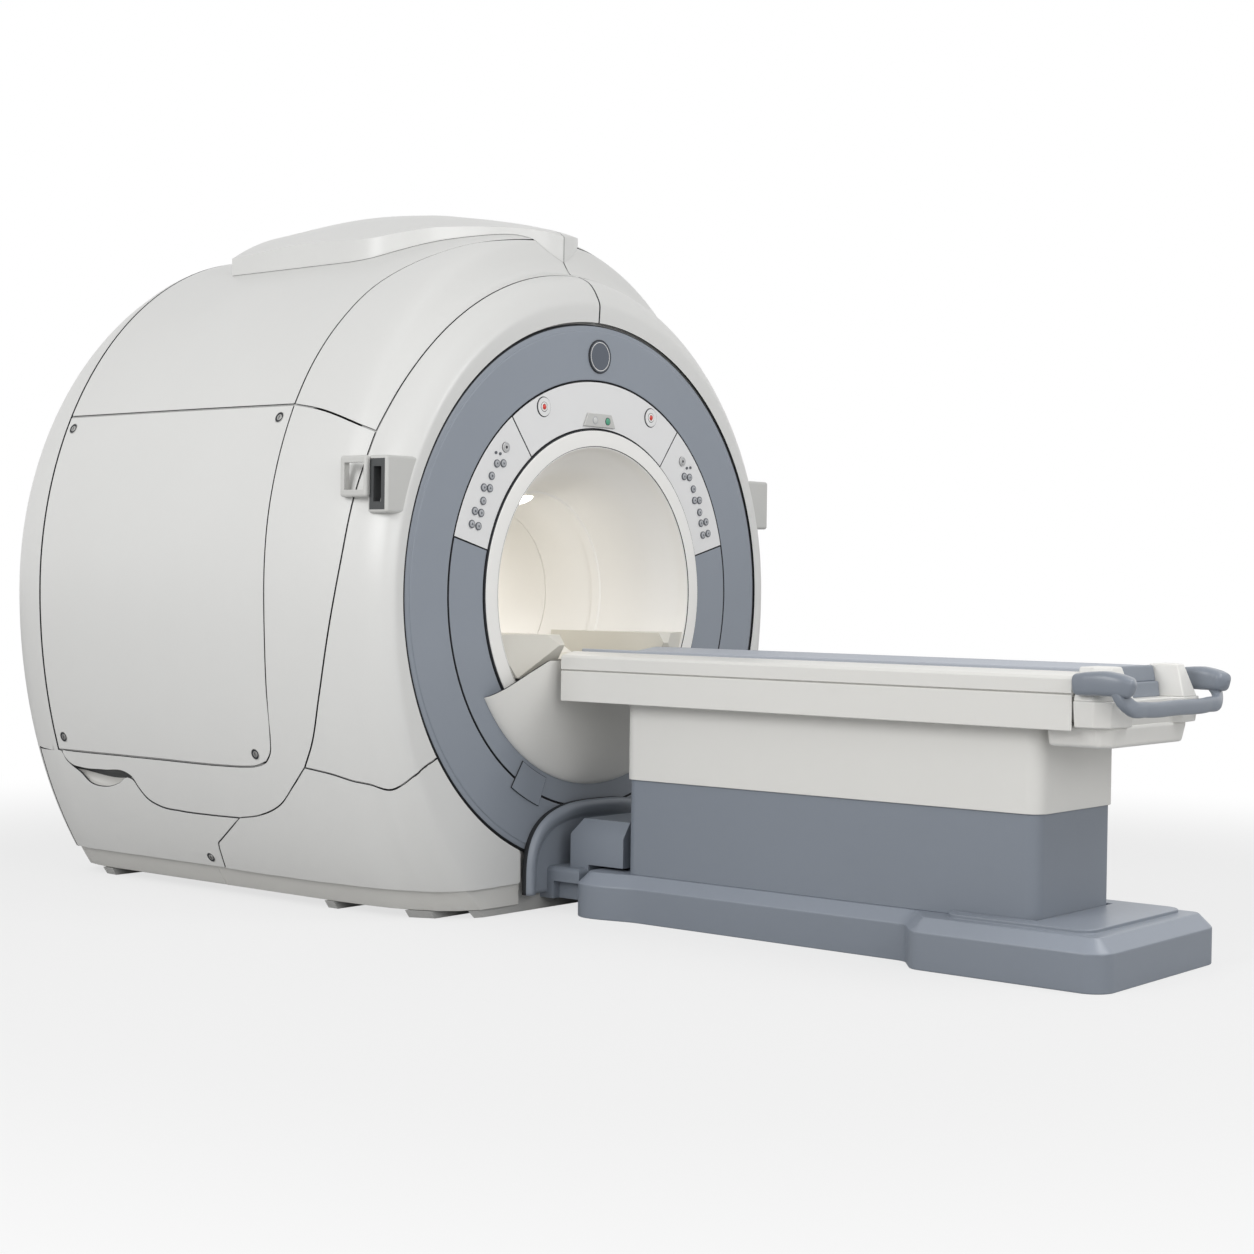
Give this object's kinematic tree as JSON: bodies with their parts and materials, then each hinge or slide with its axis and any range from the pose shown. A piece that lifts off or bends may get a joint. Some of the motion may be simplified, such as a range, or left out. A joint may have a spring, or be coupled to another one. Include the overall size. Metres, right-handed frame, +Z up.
{
  "type": "mri scanner",
  "caption": "Cylindrical MRI scanner in rounded covers with a blue-grey front ring, keypads and a lit bore, and a docked patient table whose deck lifts and whose cradle slides in.",
  "frame": {"origin": "on the floor, under the middle of the whole object", "axes": "+Z up; the bore runs along Y, the front face looks towards -Y and the table reaches out to -Y; +X is on the right of someone who faces the front of the scanner"},
  "size_m": [2.11, 4.13, 2.446],
  "materials": {
    "cover_white": "satin",
    "plinth_white": "satin",
    "ring_blue": "satin",
    "table_blue": "satin",
    "bore_ivory": "satin",
    "panel_grey": "satin",
    "stop_red": "gloss",
    "button_grey": "satin",
    "handle_grey": "satin",
    "lamp_white": "lit",
    "table_white": "satin",
    "cradle_grey": "satin",
    "screw_steel": "satin",
    "vessel_steel": "satin",
    "coil_resin": "matt",
    "frame_paint": "matt",
    "column_aluminium": "satin"
  },
  "bodies": {
    "scanner_and_base": {"access_panel_left": "cover_white", "access_panel_right": "cover_white", "apron": "table_white", "badge_disc": "ring_blue", "base_cover": "table_blue", "bore_bridge": "table_white", "bore_entry_ring": "bore_ivory", "bore_funnel": "bore_ivory", "bore_lamp": "lamp_white", "bore_liner": "bore_ivory", "cover_frame": "frame_paint", "cover_screws": "screw_steel", "display_panel": "panel_grey", "dock_block": "table_blue", "dock_collar": "table_blue", "front_cover_left": "cover_white", "front_cover_right": "cover_white", "front_ring": "ring_blue", "front_ring_inner": "ring_blue", "gradient_coil": "coil_resin", "keypad_left": "panel_grey", "keypad_right": "panel_grey", "lift_column": "column_aluminium", "lower_front_cover_left": "cover_white", "lower_front_cover_right": "cover_white", "lower_rear_cover_left": "cover_white", "lower_rear_cover_right": "cover_white", "lower_shroud": "table_blue", "magnet_stand": "frame_paint", "magnet_vessel": "vessel_steel", "plinth_front_left": "plinth_white", "plinth_front_right": "plinth_white", "plinth_rear": "plinth_white", "rear_bore_funnel": "bore_ivory", "rear_cover": "cover_white", "rf_body_coil": "coil_resin", "service_hatch": "ring_blue", "shoulder_cover_left": "cover_white", "shoulder_cover_right": "cover_white", "side_frame_left": "cover_white", "side_frame_right": "cover_white", "side_handle_left": "handle_grey", "side_handle_right": "handle_grey", "status_lamp": "panel_grey", "top_cover_left": "cover_white", "top_cover_right": "cover_white", "turret_cover_left": "cover_white", "turret_cover_right": "cover_white"},
    "table_top": {"upper_shroud": "table_white", "lift_ram": "column_aluminium", "deck_frame": "table_white", "deck_rail": "table_white", "end_cap": "table_white", "push_handle": "table_blue", "under_tray": "table_white"},
    "cradle": {"cradle": "cradle_grey"},
    "stop_left": {"stop_button_left": "stop_red"},
    "stop_right": {"stop_button_right": "stop_red"},
    "light_left": {"light_button_left": "button_grey"},
    "light_right": {"light_button_right": "button_grey"}
  },
  "joints": [
    {"name": "table_lift", "type": "slide", "parent": "scanner_and_base", "child": "table_top", "axis": [0, 0, 1], "range_m": [-0.215, 0]},
    {"name": "cradle_travel", "type": "slide", "parent": "table_top", "child": "cradle", "axis": [0, 1, 0], "range_m": [0, 1.5]},
    {"name": "stop_left_press", "type": "slide", "parent": "scanner_and_base", "child": "stop_left", "axis": [0, 1, 0], "range_m": [0, 0.004], "stiffness_N_per_m": 900, "springref_m": -0.002},
    {"name": "stop_right_press", "type": "slide", "parent": "scanner_and_base", "child": "stop_right", "axis": [0, 1, 0], "range_m": [0, 0.004], "stiffness_N_per_m": 900, "springref_m": -0.002},
    {"name": "light_left_press", "type": "slide", "parent": "scanner_and_base", "child": "light_left", "axis": [0, 1, 0], "range_m": [0, 0.004], "stiffness_N_per_m": 900, "springref_m": -0.002},
    {"name": "light_right_press", "type": "slide", "parent": "scanner_and_base", "child": "light_right", "axis": [0, 1, 0], "range_m": [0, 0.004], "stiffness_N_per_m": 900, "springref_m": -0.002}
  ]
}
